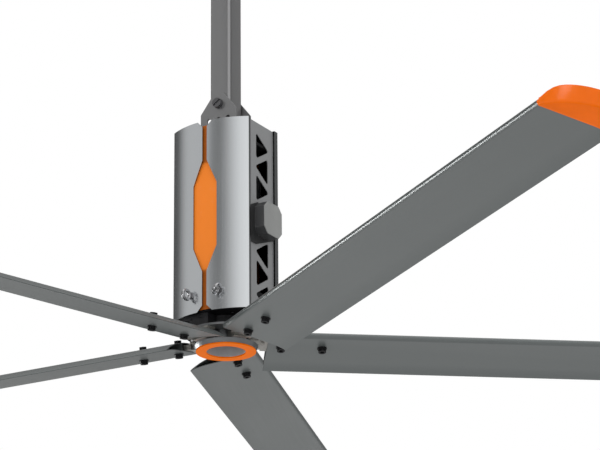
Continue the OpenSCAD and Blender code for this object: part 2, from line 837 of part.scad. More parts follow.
module gear_case() color([0.20, 0.20, 0.21]) difference() {
    union() {
        place(case_z) linear_extrude(web_z - case_z) case_plan(case_r);
        place(case_foot_z) translate([case_foot_x[0], -case_foot_half_y, 0])
            cube([case_foot_x[1] - case_foot_x[0], 2 * case_foot_half_y, case_foot_t]);
        place(case_z) translate([block_x[0], -block_front_y, 0])
            cube([block_x[1] - block_x[0], block_front_y - block_rear_y,
                case_foot_z - case_z + case_foot_t]);
        place(block_low_z) translate([block_x[0], -block_front_y, 0])
            cube([block_x[1] - block_x[0], block_front_y - block_step_y, case_z - block_low_z]);
    }
    place(case_z + case_floor_t) linear_extrude(web_z) case_plan(case_in_r);
    bearing_pocket(output_bearing, case_z + case_floor_t - output_bearing[2]);
    place(case_z + case_floor_t - counter_bearing[2]) at_counter()
        cylinder(r = counter_bearing[1] + press_gap, h = counter_bearing[2] + overrun);
    place(case_z - overrun) {
        cylinder(r = seal_r + press_gap, h = seal_t + overrun);
        cylinder(r = output_shaft_r + shaft_hole_gap, h = case_floor_t);
    }
    place(case_foot_z + case_foot_t) case_screw_places()
        cylinder(r = case_screw_r + press_gap, h = web_z);
    place(case_foot_z - overrun) foot_screw_places()
        cylinder(r = foot_screw_r + press_gap, h = case_foot_t + 2 * overrun);
    place(block_mark_z) {
        translate([block_slot_x, -block_front_y, 0]) cube(block_slot, center = true);
        translate([block_plug_x, -block_front_y, 0]) rotate([90, 0, 0])
            cylinder(r = block_plug_r, h = block_slot[1], center = true);
    }
}

module bearing_web() color([0.45, 0.45, 0.46]) place(web_z) linear_extrude(web_t) difference() {
    case_plan(case_r);
    circle(r = output_bearing[1] + press_gap);
    at_counter() circle(r = web_shaft_r);
    case_screw_places() circle(r = case_screw_r + press_gap);
}

module gear_case_upper() color([0.42, 0.42, 0.43]) case_ring(web_z + web_t, flange_z - web_z - web_t);

module motor_flange() color([0.45, 0.45, 0.46]) difference() {
    place(flange_z) linear_extrude(motor_flange_t) difference() {
        union() {
            case_plan(case_r);
            circle(r = motor_flange_r);
        }
        case_screw_places() circle(r = case_screw_r + press_gap);
        rod_places() circle(r = rod_r + press_gap);
        circle(r = motor_bearing[0] + shaft_hole_gap);
    }
    bearing_pocket(motor_bearing, can_z - motor_bearing[2]);
    place(flange_z - overrun) at_counter()
        cylinder(r = counter_bearing[1] + press_gap, h = counter_bearing[2] + overrun);
}

module case_screws() color([0.60, 0.60, 0.62]) {
    place(can_z - case_screw_len) case_screw_places() {
        cylinder(r = case_screw_r, h = case_screw_len);
        translate([0, 0, case_screw_len]) cylinder(r = 2 * case_screw_r, h = case_screw_head_h);
    }
    place(bottom_plate_z) foot_screw_places() {
        cylinder(r = foot_screw_r, h = bottom_plate_t + case_foot_t);
        translate([0, 0, bottom_plate_t + case_foot_t])
            cylinder(r = 2 * foot_screw_r, h = case_screw_head_h);
    }
}

// Motor
module rod_places() for (i = [0:rod_count - 1])
    rotate((i + 1 / 2) * 360 / rod_count) translate([rod_ring, 0, 0]) children();

module motor_can() color([0.12, 0.12, 0.13]) place(can_z)
    linear_extrude(motor_len) tube_2d(motor_r, motor_r - can_wall);

module motor_end_cap() color([0.14, 0.14, 0.15]) difference() {
    place(end_cap_z) linear_extrude(end_cap_t) difference() {
        circle(r = motor_flange_r);
        rod_places() circle(r = rod_r + press_gap);
    }
    place(end_cap_z - overrun) cylinder(r = motor_bearing[1] + press_gap, h = motor_bearing[2] + overrun);
}

module motor_tie_rods() color([0.60, 0.60, 0.62]) place(flange_z) rod_places() {
    cylinder(r = rod_r, h = motor_flange_t + motor_len + end_cap_t);
    translate([0, 0, motor_flange_t + motor_len + end_cap_t]) hexagon(rod_nut_af, rod_nut_h);
}

module motor_stator() color([0.55, 0.34, 0.16]) {
    place(stator_z) linear_extrude(stator_h) difference() {
        tube_2d(motor_r - can_wall - seat_gap, stator_in_r);
        stator_slots(-overrun, slot_depth, stator_slot_w);
    }
    place(stator_z - coil_over) linear_extrude(stator_h + 2 * coil_over)
        stator_slots(seat_gap, slot_depth - seat_gap, stator_slot_w - 2 * seat_gap);
}

module stator_slots(from, to, w) for (i = [0:slot_count - 1]) rotate(i * 360 / slot_count)
    translate([stator_in_r + from, -w / 2]) square([to - from, w]);

module motor_rotor_core() color([0.33, 0.33, 0.35]) place(stator_z) linear_extrude(stator_h) {
    rotor_r = stator_in_r - air_gap;
    tube_2d(rotor_r - magnet_t, motor_bearing[0] + press_gap);
    difference() {
        tube_2d(rotor_r, rotor_r - magnet_t - seat_gap);
        for (i = [0:magnet_count - 1]) rotate(i * 360 / magnet_count)
            translate([rotor_r, 0]) square([2 * magnet_t, magnet_space], center = true);
    }
}

module motor_shaft() color([0.70, 0.70, 0.72]) {
    place(stage1_z) rotate(counter_angle) gear(pinion_teeth, pinion_face);
    place(stage1_z) cylinder(r = motor_bearing[0], h = end_cap_z + motor_bearing[2] - stage1_z);
}

// Countershaft: a pinion cut on the shaft drives the output gear
module countershaft() color([0.70, 0.70, 0.72]) at_counter() {
    low = case_z + case_floor_t - counter_bearing[2] + face_margin;
    high = flange_z + counter_bearing[2] - face_margin;
    place(low) cylinder(r = counter_bearing[0], h = high - low);
    place(stage2_z + pinion_face) cylinder(r = counter_shoulder_r,
        h = stage1_z + face_margin - stage2_z - pinion_face);
    place(stage2_z) rotate(180 + 180 / pinion_teeth) gear(pinion_teeth, pinion_face);
}

module counter_wheel() color([0.62, 0.62, 0.65]) place(stage1_z + face_margin) at_counter() difference() {
    rotate(180 + 180 / wheel_teeth) gear(wheel_teeth, wheel_face);
    translate([0, 0, -overrun]) cylinder(r = counter_bearing[0] + press_gap, h = wheel_face + 2 * overrun);
}

module output_gear() color([0.62, 0.62, 0.65]) place(stage2_z + face_margin) difference() {
    rotate(counter_angle) gear(wheel_teeth, wheel_face);
    translate([0, 0, -overrun]) cylinder(r = output_shaft_r + press_gap, h = wheel_face + 2 * overrun);
}

module output_shaft() color([0.66, 0.66, 0.68]) difference() {
    union() {
        place(hub_flange_z) cylinder(r = hub_flange_r, h = hub_flange_t);
        place(hub_flange_z) cylinder(r = output_shaft_r, h = web_z + web_t - hub_flange_z);
        place(upper_disc_z) cylinder(r = spigot_r, h = upper_disc_t + overrun);
    }
    place(hub_flange_z) hub_screw_places() translate([0, 0, -overrun])
        cylinder(r = hub_screw_r + press_gap, h = hub_flange_t + 2 * overrun);
}

// Inverter on the shelf
module inverter_case() color([0.16, 0.16, 0.17]) place(shelf_z + shelf_t)
    translate([-inverter_size[0] / 2, -inverter_size[1] / 2, 0]) difference() {
        cube(inverter_size);
        translate([inverter_wall, inverter_wall, inverter_wall])
            cube([inverter_size[0] - 2 * inverter_wall, inverter_size[1] - 2 * inverter_wall,
                inverter_size[2] - 2 * inverter_wall]);
    }

module inverter_heatsink() color([0.50, 0.50, 0.52]) place(shelf_z + shelf_t)
    translate([-inverter_size[0] / 2, inverter_size[1] / 2, 0]) {
        cube([inverter_size[0], heatsink_base_t, inverter_size[2]]);
        for (i = [0:fin_count - 1]) translate([i * (inverter_size[0] - fin_t) / (fin_count - 1), 0, 0])
            cube([fin_t, heatsink_depth, inverter_size[2]]);
    }

// Hub
module hub_screw_places() for (i = [0:hub_screw_count - 1])
    rotate(i * 360 / hub_screw_count) translate([hub_screw_ring, 0, 0]) children();

module root_screw_places() at_each_blade() for (y = [-1, 1])
    translate([root_screw_x, y * root_screw_y, 0]) children();

module lug_bolt_places() at_each_blade() for (y = [-1, 1])
    translate([lug_bolt_x, y * lug_bolt_y, 0]) children();

module trim_ring() color([0.93, 0.42, 0.10]) place() linear_extrude(trim_t) tube_2d(ring_r, ring_bore_r);

module hub_body() color([0.45, 0.46, 0.47]) difference() {
    union() {
        place(trim_t) cylinder(r1 = ring_r, r2 = ring_r + hub_flare, h = hub_disc_top_z - trim_t);
        place(trim_t) cylinder(r = ring_bore_r + hub_sleeve_wall, h = upper_disc_z - trim_t);
    }
    place() cylinder(r = ring_bore_r, h = upper_disc_z + overrun);
    place(trim_t - overrun) root_screw_places() {
        cylinder(r = root_screw_r + hole_gap, h = hub_disc_top_z);
        cylinder(r = root_screw_head_r + hole_gap, h = root_screw_head_h + overrun);
    }
}

module upper_disc() color([0.58, 0.59, 0.60]) difference() {
    place(upper_disc_z) cylinder(r = upper_disc_r, h = upper_disc_t);
    place(upper_disc_z - overrun) {
        cylinder(r = spigot_r + press_gap, h = upper_disc_t + 2 * overrun);
        hub_screw_places() cylinder(r = hub_screw_r + hole_gap, h = upper_disc_t + 2 * overrun);
        lug_bolt_places() cylinder(r = lug_bolt_r + press_gap, h = upper_disc_t + 2 * overrun);
    }
}

module hub_screws() color([0.20, 0.20, 0.21]) {
    place(upper_disc_z) hub_screw_places() {
        cylinder(r = hub_screw_r, h = upper_disc_t + hub_flange_t);
        translate([0, 0, -hub_screw_head_h]) cylinder(r = hub_screw_head_r, h = hub_screw_head_h);
    }
    place(trim_t) root_screw_places() {
        cylinder(r = root_screw_head_r, h = root_screw_head_h);
        cylinder(r = root_screw_r, h = hub_disc_top_z - trim_t + root_screw_depth);
    }
}

module lug_bolts() color([0.78, 0.78, 0.79]) place(upper_disc_z - lug_t) lug_bolt_places() {
    cylinder(r = lug_bolt_r, h = lug_t + upper_disc_t);
    translate([0, 0, -lug_head_h]) hexagon(lug_head_af, lug_head_h);
}

// Blade section: heights of the underside and of the upper skin at a station s
crest_s = nose_lead - crest_share * (nose_lead + tail_lag);
function underside(s) = nose_z - nose_r - (nose_lead - s) * tan(blade_pitch)
    - flap_drop * pow(max(0, flap_len - tail_lag - s) / flap_len, 2);
function depth(s) = s > crest_s
    ? 2 * nose_r + (blade_thick - 2 * nose_r) * sin(90 * (nose_lead - s) / (nose_lead - crest_s))
    : tail_t + (blade_thick - tail_t) * (1 - pow((crest_s - s) / (crest_s + tail_lag), 2));
function nose_half(s) = sqrt(max(0, nose_r * nose_r - pow(s - nose_lead, 2)));
function lower_skin(s) = s > nose_lead ? nose_z - nose_half(s) : underside(s);
function upper_skin(s) = s > nose_lead ? nose_z + nose_half(s) : underside(s) + depth(s);
stations = concat(
    [for (k = [0:skin_steps]) -tail_lag + (nose_lead + tail_lag) * k / skin_steps],
    [for (k = [1:nose_steps - 1]) nose_lead + nose_r * sin(90 * k / nose_steps)]);
nose_tip = nose_lead + nose_r;
function cell_stations(cell) = [for (k = [0:cell_steps]) cell[0] + (cell[1] - cell[0]) * k / cell_steps];

module section_outer() polygon(concat(
    [for (s = stations) [-s, lower_skin(s)]], [[-nose_tip, nose_z]],
    [for (k = [len(stations) - 1:-1:0]) [-stations[k], upper_skin(stations[k])]]));

module section_cell(cell) {
    points = cell_stations(cell);
    skin = blade_wall / cos(blade_pitch);
    polygon(concat(
        [for (s = points) [-s, underside(s) + skin]],
        [for (k = [cell_steps:-1:0]) [-points[k], underside(points[k]) + depth(points[k]) - skin]]));
}

// Children are drawn from the underside at the bolt line, square to the blade
module pitched() translate([0, 0, underside(0)]) rotate([-blade_pitch, 0, 0]) children();

nut_z = depth(-blade_washer_r) * cos(blade_pitch) + seat_gap;

module bolt_bores(from_z, h) for (x = blade_bolt_xs) translate([x, 0, from_z])
    cylinder(r = blade_bolt_r + hole_gap, h = h);

module blade(i) color([0.43, 0.44, 0.44]) place() at_blade(i) difference() {
    translate([blade_root_r, 0, 0]) rotate([90, 0, 90]) linear_extrude(blade_end_r - blade_root_r)
        difference() {
            section_outer();
            section_cell(front_cell);
            section_cell(rear_cell);
        }
    pitched() bolt_bores(-blade_thick, 3 * blade_thick);
}

// Struts: a root block between the hub's discs, two lugs, and a bar inside the blade
module struts() color([0.74, 0.73, 0.70]) place() difference() {
    at_each_blade() {
        translate([strut_root_x, -strut_root_half_w, hub_disc_top_z])
            cube([strut_root_end - strut_root_x, 2 * strut_root_half_w, upper_disc_z - hub_disc_top_z]);
        intersection() {
            translate([lug_start, -lug_half_w, upper_disc_z - lug_t])
                cube([strut_root_end - lug_start, 2 * lug_half_w, lug_t]);
            cylinder(r = upper_disc_r, h = upper_disc_z);
        }
        pitched() translate([strut_bar_start, -strut_bar_half_w, blade_wall + seat_gap])
            cube([strut_end_r - strut_bar_start, 2 * strut_bar_half_w, strut_bar_t]);
    }
    at_each_blade() pitched() bolt_bores(-blade_thick, 3 * blade_thick);
    root_screw_places()
        cylinder(r = root_screw_r + press_gap, h = hub_disc_top_z + root_screw_depth + hole_gap);
    lug_bolt_places() cylinder(r = lug_bolt_r + press_gap, h = upper_disc_z + overrun);
}

module blade_bolts() color([0.05, 0.05, 0.055]) place() at_each_blade() pitched()
    for (x = blade_bolt_xs) translate([x, 0, 0]) difference() {
        union() {
            translate([0, 0, -blade_washer_t - blade_head_h]) cylinder(r = blade_head_r, h = blade_head_h);
            translate([0, 0, -blade_washer_t]) cylinder(r = blade_washer_r, h = blade_washer_t);
            translate([0, 0, -blade_washer_t])
                cylinder(r = blade_bolt_r, h = nut_z + 2 * blade_washer_t + blade_nut_h);
            translate([0, 0, nut_z]) cylinder(r = blade_washer_r, h = blade_washer_t);
            translate([0, 0, nut_z + blade_washer_t]) hexagon(blade_nut_af, blade_nut_h);
        }
        translate([0, 0, -blade_washer_t - blade_head_h - overrun])
            cylinder(r = blade_socket_r, h = blade_socket_h + overrun, $fn = 6);
    }

// Winglet: the section runs on level, then turns up at a swept crease into a fin.
// Each station holds the shares of the level length and fin height, the turn, and
// the share of the blade's thickness.
winglet_stations = concat(
    [for (k = [0:level_steps]) [k / level_steps, 0, 0, 1 - (1 - fin_root_t_share) * k / level_steps]],
    [for (k = [1:crease_steps]) [1, 0, fin_angle * k / crease_steps, fin_root_t_share]],
    [for (k = [1:fin_steps]) let (q = k / fin_steps)
        [1, q, fin_angle, fin_root_t_share + (fin_tip_t_share - fin_root_t_share) * q]]);
function aft_share(s) = (nose_tip - s) / (nose_tip + tail_lag);
function level_len(s) = winglet_nose_len
    + (winglet_len - winglet_nose_len) * (1 - pow(1 - aft_share(s), crease_power));
function fin_h(s) = fin_nose_h + (winglet_fin_h - fin_nose_h) * (1 - pow(1 - aft_share(s), fin_power))
    * (1 - fin_fall_share * pow(aft_share(s), fin_fall_power));
function thinned(t, share) = t < tail_t ? t : tail_t + (t - tail_t) * share;
function winglet_point(st, s, t) =
    let (rise = fin_h(s) * st[1], skin = thinned(t, st[3]))
    [level_len(s) * st[0] + crease_r * sin(st[2]) + rise * cos(fin_angle) - skin * sin(st[2]),
     -s,
     lower_skin(s) + crease_r * (1 - cos(st[2])) + rise * sin(fin_angle) + skin * cos(st[2])];
function winglet_ring(st) = concat(
    [for (s = stations) winglet_point(st, s, 0)],
    [winglet_point(st, nose_tip, 0)],
    [for (k = [len(stations) - 1:-1:0])
        let (s = stations[k]) winglet_point(st, s, upper_skin(s) - lower_skin(s))]);

module winglet_body() {
    m = len(stations);
    n = 2 * m + 1;
    rings = len(winglet_stations);
    points = [for (st = winglet_stations) each winglet_ring(st)];
    cap = concat(
        [for (k = [0:m - 2]) each [[k, k + 1, n - 1 - k], [k + 1, n - 2 - k, n - 1 - k]]],
        [[m - 1, m, m + 1]]);
    last = (rings - 1) * n;
    polyhedron(points, concat(
        [for (f = cap) [f[2], f[1], f[0]]],
        [for (f = cap) [f[0] + last, f[1] + last, f[2] + last]],
        [for (r = [0:rings - 2], k = [0:n - 1])
            let (a = r * n + k, b = r * n + (k + 1) % n)
            each [[b, a + n, a], [b + n, a + n, b]]]));
}

module winglet(i) color([0.93, 0.42, 0.10]) place() at_blade(i) {
    translate([blade_end_r, 0, 0]) winglet_body();
    pitched() translate([blade_end_r - spigot_len, -spigot_half_w, blade_wall + seat_gap])
        cube([spigot_len + overrun, 2 * spigot_half_w, strut_bar_t]);
}

ceiling_bracket();
upper_pivot_bolt();
down_tube();
pivot_sleeves();
hanger_plates();
lower_pivot_bolt();
crosshead();
crosshead_bolts();
top_plate();
shelf_plate();
lower_former();
bottom_plate();
left_side_panel();
right_side_panel();
front_left_cover();
front_right_cover();
rear_left_cover();
rear_right_cover();
front_accent();
rear_accent();
guy_eyes();
control_box();
control_box_lid();
control_board();
gear_case();
bearing_web();
gear_case_upper();
motor_flange();
case_screws();
bearings();
output_seal();
motor_can();
motor_end_cap();
motor_tie_rods();
motor_stator();
inverter_case();
inverter_heatsink();
motor_shaft();
motor_rotor_core();
countershaft();
counter_wheel();
output_shaft();
output_gear();
hub_body();
trim_ring();
upper_disc();
hub_screws();
lug_bolts();
struts();
blade_bolts();
for (i = [1:blade_count]) {
    blade(i);
    winglet(i);
}
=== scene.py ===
import json
import math

import bpy
from bpy.props import FloatProperty, FloatVectorProperty, PointerProperty
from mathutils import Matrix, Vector

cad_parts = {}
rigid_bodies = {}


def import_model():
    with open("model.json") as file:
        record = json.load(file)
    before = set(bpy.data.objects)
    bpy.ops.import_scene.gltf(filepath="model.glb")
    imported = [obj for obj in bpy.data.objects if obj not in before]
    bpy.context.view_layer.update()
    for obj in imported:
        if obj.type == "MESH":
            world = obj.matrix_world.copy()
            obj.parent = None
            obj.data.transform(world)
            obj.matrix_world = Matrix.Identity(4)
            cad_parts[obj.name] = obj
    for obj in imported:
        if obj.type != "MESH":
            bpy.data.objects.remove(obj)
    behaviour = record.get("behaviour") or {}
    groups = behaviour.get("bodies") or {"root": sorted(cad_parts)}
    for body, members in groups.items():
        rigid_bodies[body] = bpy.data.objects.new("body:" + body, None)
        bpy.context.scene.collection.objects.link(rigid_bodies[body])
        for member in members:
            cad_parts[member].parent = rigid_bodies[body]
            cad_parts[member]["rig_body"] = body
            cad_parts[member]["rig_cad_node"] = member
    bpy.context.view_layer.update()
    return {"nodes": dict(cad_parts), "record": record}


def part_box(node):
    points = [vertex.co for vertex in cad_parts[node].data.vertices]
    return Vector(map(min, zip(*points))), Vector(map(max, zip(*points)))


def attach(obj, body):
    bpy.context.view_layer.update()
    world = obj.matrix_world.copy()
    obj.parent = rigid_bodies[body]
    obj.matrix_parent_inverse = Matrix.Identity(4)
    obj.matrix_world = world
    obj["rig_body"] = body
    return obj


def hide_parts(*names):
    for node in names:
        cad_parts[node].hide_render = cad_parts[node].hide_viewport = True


bl_info = {
    "name": "Large ceiling fan",
    "version": (1, 0, 0),
    "blender": (4, 5, 0),
    "location": "View3D > Sidebar > Fan",
    "description": "Dresses the ceiling fan's frame with finished surfaces and sets its studio",
    "category": "Add Mesh",
}

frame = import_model()
NODES = frame["nodes"]
BODY_OF = {n: body for body, names in frame["record"]["behaviour"]["bodies"].items() for n in names}
SLOT_OF = {s["node"]: s["material_slot"] for s in frame["record"]["subparts"]}
BLADES = sorted(n for n in NODES if n.startswith("blade_") and n[6:].isdigit())

# Where a finish changes, in metres. The origin is in the middle of the ceiling plate's upper face.
SIDE_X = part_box("front_right_cover")[1].x  # outer side of the covers
SIDE_EDGE = 0.0012  # width of the covers' dark edge there
COVER_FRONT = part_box("front_right_cover")[0].y  # foremost line of the front covers
COVER_ARC = 0.2248  # outer radius of a cover's curve
# Covers and side panels are painted near-black on their inner side: painted shade of the housing's inside
COVER_SKIN = 0.0015  # depth from which a cover is dark inside
PANEL_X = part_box("right_side_panel")[1].x - 0.002  # half-way through the side panel
BOX_FOOT_X = PANEL_X + 0.0062  # outer side of the control box's dark foot
WINDOW_Z = sum(corner.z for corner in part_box("front_right_cover")) / 2 - 0.001  # the window's middle
# Painted shade: the accent plates are painted darker in the slots above and below the window, where the
# recess is in shade
WINDOW_HALF_H = 0.157  # from there to where the accent plate is dark
WINDOW_FADE = 0.012  # height over which it darkens
SLOT_SHADE_TONE = 0.44  # share of its tone that it has there
BORE_R = 0.052  # the hub's bore
BORE_SKIN = 0.0008  # depth of the bore's finish

# Widths over which a mask turns from 0 to 1
FINE_BLUR = 0.0003
BLUR = 0.0004
WIDE_BLUR = 0.0005

# Colours that no setting holds
# Painted shade: near-black for the housing's inner faces, which lie in shade
INSIDE_SHADE_COLOUR = (0.006, 0.006, 0.006)
DUST_COLOUR = (0.6, 0.6, 0.58)
# Painted light: the bore is lighter and less metallic than the hub, standing in for the bright reflections
# within it
BORE_LIGHT_COLOUR = (0.5, 0.5, 0.51)
BORE_METALLIC = 0.35
FLOOR_COLOUR = (0.80, 0.80, 0.80)

# Sides of the room that lights the fan: azimuth (0 is the front, 90 the right), elevation, radius of the
# full effect and radius at which it ends, all in degrees, and what it adds to the room's level
SOFT_LEVEL = 0.92
SOFT_SIDES = [(40, 40, 10, 80, 0.22), (-120, 10, 10, 70, -0.20)]
MIRRORED_LEVEL = 0.225
MIRRORED_SIDES = [
    (52, 25, 14, 58, 0.86), (-50, 22, 8, 34, 0.40), (0, 90, 8, 50, 1.3),
    (-105, 15, 10, 40, -0.12), (119, 15, 8, 30, -0.21), (148, 17, 8, 24, 0.25),
    (-98, -6, 5, 14, 18), (-128, -6, 6, 26, 0.32), (0, -12, 4, 13, 9)]

# Camera and floor
SENSOR_WIDTH = 36.0
VIEW_DEPTH = 100.0
FLOOR_SIZE = 120.0
FLOOR_CELLS = 8

# Mesh clean-up and edges
MERGE_DISTANCE = 0.00001
FLAT_ANGLE = math.radians(0.6)
EDGE_ANGLE = math.radians(30.0)
BLADE_EDGE_ANGLE = math.radians(20.0)
EDGE_SEGMENTS = 2


# Shader maths

class Wire:
    """A node socket that can be used in sums."""

    def __init__(self, finish, socket):
        self.finish = finish
        self.socket = socket

    def maths(self, operation, *others):
        return self.finish.node("ShaderNodeMath", {"operation": operation}, dict(enumerate([self, *others])))

    def __add__(self, other):
        return self.maths("ADD", other)

    def __radd__(self, other):
        return self.maths("ADD", other)

    def __sub__(self, other):
        return self.maths("SUBTRACT", other)

    def __rsub__(self, other):
        return self.finish.node("ShaderNodeMath", {"operation": "SUBTRACT"}, {0: other, 1: self})

    def __mul__(self, other):
        return self.maths("MULTIPLY", other)

    def __rmul__(self, other):
        return self.maths("MULTIPLY", other)

    def __abs__(self):
        return self.maths("ABSOLUTE")

    def power(self, other):
        return self.maths("POWER", other)

    def swing(self, amount):
        """A noise between 0 and 1 as a swing of this amount about 0."""
        return (self - 0.5) * amount

    def ramp(self, low, high):
        """0 below low, 1 above high, smooth between."""
        return self.finish.node("ShaderNodeMapRange", {"interpolation_type": "SMOOTHSTEP"},
                                {0: self, 1: low, 2: high, 3: 0.0, 4: 1.0})

    def past(self, limit, blur=BLUR):
        """0 up to the limit and 1 from just beyond it."""
        return self.ramp(limit, limit + blur)


class Finish:
    """A material, or a world, and its nodes."""

    def __init__(self, name, owner=None):
        self.block = owner or bpy.data.materials.new(name)
        self.block.use_nodes = True
        self.nodes = self.block.node_tree.nodes
        self.links = self.block.node_tree.links
        self.nodes.clear()

    def node(self, kind, settings=None, values=None, out=0):
        """Adds a node, sets it, feeds its sockets and gives back one of its outputs, or none."""
        made = self.nodes.new(kind)
        for key, value in (settings or {}).items():
            setattr(made, key, value)
        for key, value in (values or {}).items():
            if isinstance(value, Wire):
                self.links.new(value.socket, made.inputs[key])
            else:
                made.inputs[key].default_value = value
        return None if out is None else Wire(self, made.outputs[out])

    def place(self, turn=0.0, stretch=(1.0, 1.0, 1.0)):
        """Object coordinates, turned back about the fan's axis and stretched."""
        here = self.node("ShaderNodeTexCoord", out="Object")
        turned_back = self.node("ShaderNodeMapping", {"vector_type": "POINT"},
                                {"Vector": here, "Rotation": (0.0, 0.0, -turn)})
        return self.node("ShaderNodeVectorMath", {"operation": "MULTIPLY"}, {0: turned_back, 1: stretch})

    def axis(self, vector, letter):
        return self.node("ShaderNodeSeparateXYZ", {}, {0: vector}, out=letter)

    def noise(self, vector, scale, detail=3.0, roughness=0.55):
        return self.node("ShaderNodeTexNoise", {"noise_dimensions": "3D"},
                         {"Vector": vector, "Scale": scale, "Detail": detail, "Roughness": roughness})

    def mix(self, factor, a, b):
        """A mix of two colours."""
        a, b = (c if isinstance(c, Wire) else (*c, 1.0) for c in (a, b))
        return self.node("ShaderNodeMix", {"data_type": "RGBA"}, {"Factor": factor, 6: a, 7: b}, out=2)

    def tones(self, factor, colour, low, high):
        """The colour, from low times its tone to high times its tone."""
        return self.mix(factor, shade(colour, low), shade(colour, high))

    def bump(self, height, strength, distance):
        return self.node("ShaderNodeBump", {},
                         {"Height": height, "Strength": strength, "Distance": distance})

    def surface(self, **sockets):
        """Ends the material in one Principled shader, whose sockets are named base_color and so on."""
        values = {}
        for key, value in sockets.items():
            name = key.replace("_", " ").title().replace("Ior", "IOR")
            is_colour = name.endswith("Color") and not isinstance(value, Wire)
            values[name] = (*value, 1.0) if is_colour else value
        shader = self.node("ShaderNodeBsdfPrincipled", {}, values)
        self.node("ShaderNodeOutputMaterial", {}, {"Surface": shader}, out=None)
        return self.block


def shade(colour, factor):
    return tuple(min(1.0, c * factor) for c in colour)


# Finishes

def anodised(name, colour, rough, metallic=0.85, turn=0.0, stretch=(60, 60, 1.2), streaks=0.06, edge_x=0.0,
             inside=None):
    """Extruded aluminium: fine lines along the extrusion and slight cloudiness, dark beyond edge_x.

    inside is (arc centre's distance behind the axis, radius) for a curved sheet and (None, x) for a flat
    one. The sheet is dark within that radius or x.
    """
    f = Finish(name)
    lines = f.noise(f.place(turn, stretch), 6.0, detail=4.0, roughness=0.65)
    cloud = f.noise(f.place(turn), 3.5, detail=2.0)
    specks = f.noise(f.place(turn), 900.0, detail=2.0)
    tone = lines.swing(streaks * 2) + cloud.swing(0.05) + 0.5
    face = f.tones(tone.ramp(0.3, 0.7), colour, 0.93, 1.07)
    # Painted shade: the sheet's inner side is near-black, for the shade inside the housing
    if inside:
        centre, limit = inside
        here = f.place()
        reach = abs(f.axis(here, "X"))
        if centre is not None:
            reach = (reach * reach + (abs(f.axis(here, "Y")) + centre).power(2.0)).power(0.5)
        face = f.mix(reach.past(limit), INSIDE_SHADE_COLOUR, face)
    if edge_x:
        face = f.mix(abs(f.axis(f.place(), "X")).past(edge_x), face, shade(colour, 0.22))
    return f.surface(
        base_color=face, metallic=metallic, roughness=rough + lines.swing(0.10) + cloud.swing(0.08),
        normal=f.bump(lines + specks * 0.4, 0.10, 0.0002))


def painted(name, colour, rough, peel=0.10, metallic=0.0, fade=0.05, gloss=0.5, groove_shade=None):
    """Sprayed paint: orange peel, dust and tone drift.

    groove is (middle z, half height, front y, tone). Beyond the half height the paint has that share of its
    tone, and behind the front it is nearly black.
    """
    f = Finish(name)
    here = f.place()
    skin = f.noise(here, 420.0, detail=2.0, roughness=0.5)
    drift = f.noise(here, 7.0)
    dust = f.noise(here, 55.0, detail=5.0, roughness=0.7).ramp(0.55, 0.8)
    tone = f.tones(drift.swing(2 * fade) + 0.5, colour, 1 - fade * 2, 1 + fade * 2)
    # Painted shade: darker in the slots beyond the window's half height, and nearly black behind the front
    # face, inside the housing
    if groove_shade:
        middle, half, front, dark = groove_shade
        beyond = abs(f.axis(here, "Z") - middle).ramp(half - WINDOW_FADE, half)
        tone = f.mix(beyond, tone, shade(colour, dark))
        face = abs(f.axis(here, "Y")).past(front - 2 * WIDE_BLUR, WIDE_BLUR)
        tone = f.mix(face, shade(colour, 0.08), tone)
    return f.surface(
        base_color=f.mix(dust * 0.05, tone, DUST_COLOUR), metallic=metallic, specular_ior_level=gloss,
        roughness=rough + drift.swing(0.08) + dust * 0.06, normal=f.bump(skin, peel, 0.0003))


def moulded(name, colour, rough, grain=0.25, scale=700.0, gloss=0.5, coat=0.0, foot_x=0.0):
    """Moulded plastic: a fine spark-eroded grain with drifting tone, darker where x is under foot_x.

    coat polishes the upright faces.
    """
    f = Finish(name)
    here = f.place()
    pits = f.node("ShaderNodeTexVoronoi", {"feature": "F1"}, {"Vector": here, "Scale": scale},
                  out="Distance")
    drift = f.noise(here, 12.0)
    tone = f.tones(drift.ramp(0.3, 0.7), colour, 0.94, 1.05)
    if foot_x:
        tone = f.mix(f.axis(here, "X").past(foot_x, FINE_BLUR), shade(colour, 0.35), tone)
    level_face = abs(f.axis(f.node("ShaderNodeTexCoord", out="Normal"), "Z")).ramp(0.6, 0.9)
    return f.surface(
        base_color=tone, specular_ior_level=gloss, roughness=rough + drift.swing(0.10),
        coat_weight=(1 - level_face) * coat, coat_roughness=0.18, normal=f.bump(pits, grain, 0.0003))


def cast_metal(name, colour, rough=0.55, metallic=0.4):
    """Painted casting: sandy skin with soft lumps."""
    f = Finish(name)
    here = f.place()
    sand = f.noise(here, 320.0, detail=4.0, roughness=0.7)
    lumps = f.noise(here, 60.0)
    return f.surface(
        base_color=f.tones(lumps.ramp(0.35, 0.65), colour, 0.85, 1.15), metallic=metallic,
        roughness=rough + sand.swing(0.2), normal=f.bump(sand + lumps * 0.5, 0.35, 0.0006))


